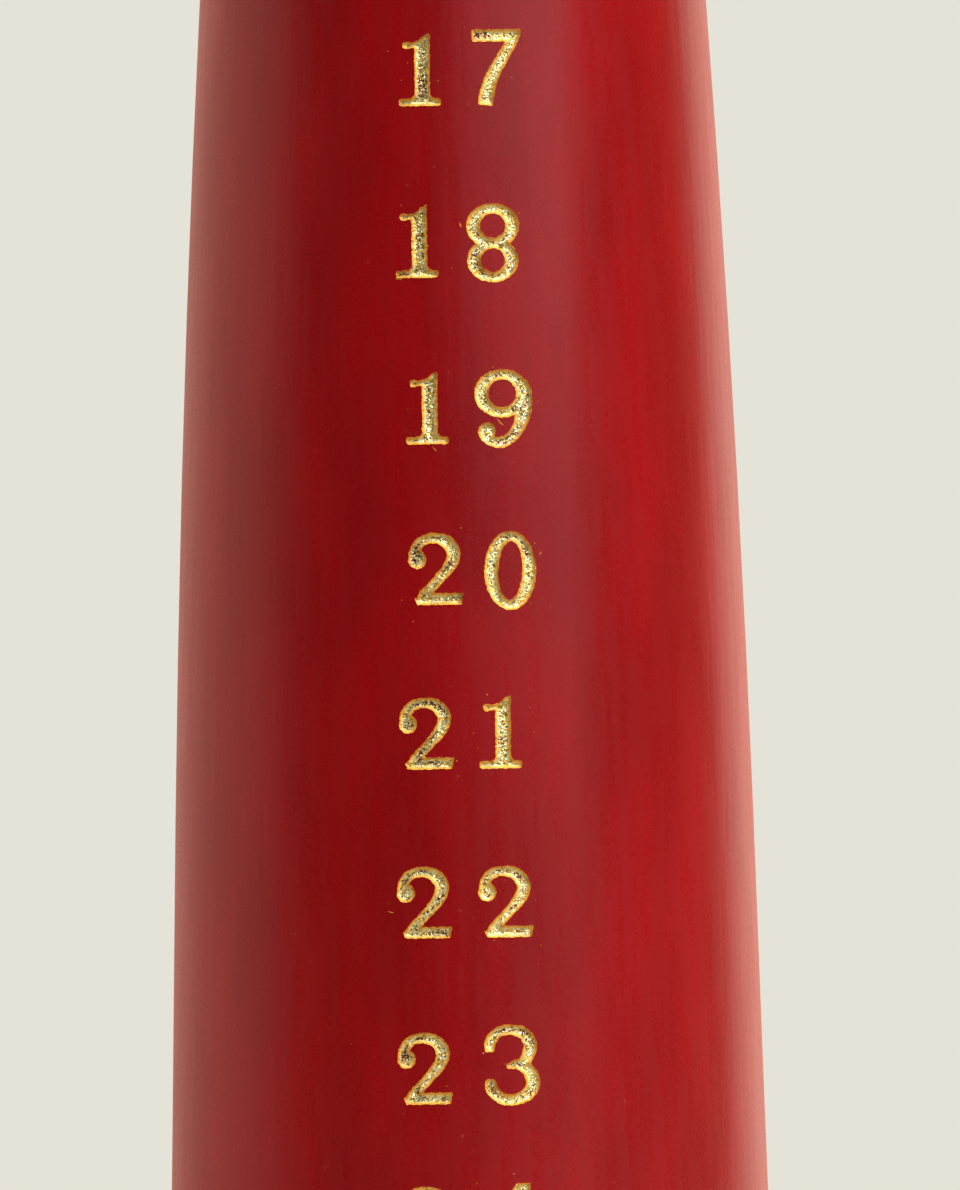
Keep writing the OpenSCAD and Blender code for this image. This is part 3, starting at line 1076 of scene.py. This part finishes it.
def build_world(stage):
    """Background for the camera, and for everything else a pale room with a shaded near side."""
    world = bpy.data.worlds.new("studio")
    bpy.context.scene.world = world
    world.use_nodes = True
    tree = world.node_tree
    seen = tree.nodes["Background"]
    seen.inputs["Color"].default_value = opaque(stage.background)
    toward = add(tree, "TexCoord").outputs["Generated"]
    turn = azimuth_of(tree, toward)
    height = add(tree, "SeparateXYZ", {0: toward}).outputs[2]
    dimmed = ranged(tree, height, *LOW_RISE, stage.surround * LOW_DIM, stage.surround)
    left = math_node(tree, 'MULTIPLY', ranged(tree, turn, *LEFT_ARC, 1.0, 0.0), dimmed)
    bright = stage.surround * RIGHT_GAIN
    change = math_node(tree, 'MULTIPLY', math_node(tree, 'SUBTRACT', dimmed, bright),
                       ranged(tree, turn, *BEHIND_ARC))
    right = math_node(tree, 'MULTIPLY', math_node(tree, 'ADD', change, bright),
                      ranged(tree, turn, *RIGHT_ARC))
    table = math_node(tree, 'MULTIPLY', table_sector(tree, turn), stage.table * TABLE_SHARE)
    table = math_node(tree, 'MULTIPLY', ranged(tree, height, *HORIZON, 1.0, 0.0), table)
    level = stage.shade
    for part in (left, right, table, ranged(tree, height, *BELOW, 1.0, 0.0)):
        level = math_node(tree, 'MAXIMUM', part, level)
    room = add(tree, "Background", {"Color": opaque(stage.background), "Strength": level})
    camera = add(tree, "LightPath").outputs["Is Camera Ray"]
    mix = add(tree, "MixShader", {0: camera, 1: room.outputs[0], 2: seen.outputs[0]})
    tree.links.new(mix.outputs[0], tree.nodes["World Output"].inputs["Surface"])


def add_lamp(name, azimuth, elevation, size, strength, middle, roll=0):
    """A rectangular lamp that faces the candle. Azimuth 0 is at the camera, and 90 to its right."""
    turn, rise = math.radians(azimuth), math.radians(elevation)
    level = math.cos(rise)
    away = Vector((math.sin(turn) * level, -math.cos(turn) * level, math.sin(rise)))
    facing = away.to_track_quat('Z', 'Y') @ Quaternion((0, 0, 1), math.radians(roll))
    bpy.ops.object.light_add(
        type='AREA', location=middle + away * LAMP_FAR, rotation=facing.to_euler())
    lamp = bpy.context.object
    lamp.name = name
    lamp.data.shape = 'RECTANGLE'
    lamp.data.size, lamp.data.size_y = size
    lamp.data.energy = strength * math.pi * size[0] * size[1]
    lamp.visible_camera = False


def floor_ring(stage):
    """The floor, open under the foot, so that the foot can be seen from below."""
    bpy.ops.mesh.primitive_circle_add(
        vertices=128, radius=stage.floor_r, fill_type='NOTHING', enter_editmode=True,
        location=(0, 0, 0))
    bpy.ops.mesh.select_all(action='SELECT')
    bpy.ops.mesh.extrude_region_move()
    inner = (SIDE[0][1] - FOOT_LAP) / stage.floor_r
    bpy.ops.transform.resize(value=(inner, inner, 1))
    bpy.ops.object.mode_set(mode='OBJECT')
    floor = bpy.context.object
    floor.name = "floor"
    floor.data.materials.append(floor_material(stage))
    return floor


class CANDLE_OT_stage(Operator):
    """Adds the camera, the lamps, the world and the floor"""
    bl_idname = "candle.stage"
    bl_label = "Stage"

    def execute(self, context):
        stage = context.scene.candle_stage
        deselect()
        bpy.ops.object.camera_add(
            location=(stage.camera_x, -stage.camera_far, stage.camera_z),
            rotation=(math.radians(90), stage.camera_roll, 0))
        camera = context.object
        camera.data.sensor_width = 36
        camera.data.lens = camera.data.sensor_width * stage.camera_far / stage.view_height
        context.scene.camera = camera
        context.scene.view_settings.view_transform = 'Standard'
        build_world(stage)
        middle = Vector((0, 0, stage.camera_z))
        add_lamp("sheen", 31, 29, (1.2, 1.0), stage.sheen_strength, middle, roll=-12)
        add_lamp("key", 60, 52, (1.0, 1.0), stage.key_strength, middle)
        add_lamp("top", -40, 74, (1.2, 0.9), stage.key_strength * 0.25, middle)
        add_lamp("rim", -105, 45, (0.8, 0.8), stage.key_strength * 0.5, middle)
        floor_ring(stage)
        return {'FINISHED'}


# The candle

def effect_groups():
    """The node groups that several materials share, built once."""
    makers = {"mottle": mottle_group, "speckle": speckle_group, "facets": facets_group}
    return {name: bpy.data.node_groups.get(name.title()) or make() for name, make in makers.items()}


class CANDLE_OT_wax_core(Operator):
    """Dresses the undyed core, which shows at the foot"""
    bl_idname = "candle.wax_core"
    bl_label = "Wax core"

    def execute(self, context):
        core = frame["nodes"]["wax_core"]
        core.data.materials.clear()
        core.data.materials.append(core_wax_material(context.scene.candle_wax, effect_groups()))
        return {'FINISHED'}


class CANDLE_OT_red_coat(Operator):
    """Spins the dyed coat and cuts the day numbers into it"""
    bl_idname = "candle.red_coat"
    bl_label = "Red coat"

    def execute(self, context):
        wax = context.scene.candle_wax
        coat = spun_coat(wax)
        dip_waves(coat, wax.wave)
        take(coat)
        bpy.ops.object.shade_smooth_by_angle(angle=SKIN_CREASE)
        bpy.ops.object.duplicate()
        uncut = context.object
        cut_grooves(coat)
        take(coat)
        bpy.ops.object.shade_smooth_by_angle(angle=SKIN_CREASE)
        smooth_skin(coat, uncut)
        finish_piece(coat, ["red_coat"], red_wax_material(wax, effect_groups()))
        return {'FINISHED'}


class CANDLE_OT_numerals(Operator):
    """Presses the gold foil of each day into its groove"""
    bl_idname = "candle.numerals"
    bl_label = "Numerals"

    def execute(self, context):
        foil, wax = context.scene.candle_foil, context.scene.candle_wax
        material = foil_material(foil, effect_groups())
        for day in DAYS:
            piece = foil_number(day, foil, wax)
            finish_piece(piece, [numeral_node(day)], material)
        return {'FINISHED'}


class CANDLE_OT_wick(Operator):
    """Braids the cotton wick"""
    bl_idname = "candle.wick"
    bl_label = "Wick"

    def execute(self, context):
        wick = context.scene.candle_wick
        piece = braid(wick)
        take(piece)
        bpy.ops.object.shade_smooth_by_angle(angle=BRAID_CREASE)
        finish_piece(piece, ["wick"], cotton_material(wick, effect_groups()))
        return {'FINISHED'}


PIECES = (CANDLE_OT_wax_core, CANDLE_OT_red_coat, CANDLE_OT_numerals, CANDLE_OT_wick)


class CANDLE_PT_panel(Panel):
    """Lists the candle's pieces and their sizes"""
    bl_label = "Calendar Candle"
    bl_space_type = 'VIEW_3D'
    bl_region_type = 'UI'
    bl_category = "Candle"

    def draw(self, context):
        layout = self.layout
        for operator in (CANDLE_OT_stage, *PIECES):
            layout.operator(operator.bl_idname)
        for name in SETTINGS:
            layout.label(text=name.replace("_", " "))
            settings = getattr(context.scene, name)
            for key in settings.__annotations__:
                layout.prop(settings, key)


SETTINGS = {
    "candle_stage": CandleStage,
    "candle_wax": CandleWax,
    "candle_foil": CandleFoil,
    "candle_wick": CandleWick,
}
CLASSES = (*SETTINGS.values(), CANDLE_OT_stage, *PIECES, CANDLE_PT_panel)


def register():
    for cls in CLASSES:
        bpy.utils.register_class(cls)
    for name, cls in SETTINGS.items():
        setattr(bpy.types.Scene, name, PointerProperty(type=cls))


def unregister():
    for name in SETTINGS:
        delattr(bpy.types.Scene, name)
    for cls in reversed(CLASSES):
        bpy.utils.unregister_class(cls)


def main():
    register()
    bpy.ops.candle.stage()
    bpy.ops.candle.wax_core()
    bpy.ops.candle.red_coat()
    bpy.ops.candle.numerals()
    bpy.ops.candle.wick()


if __name__ == "__main__":
    main()
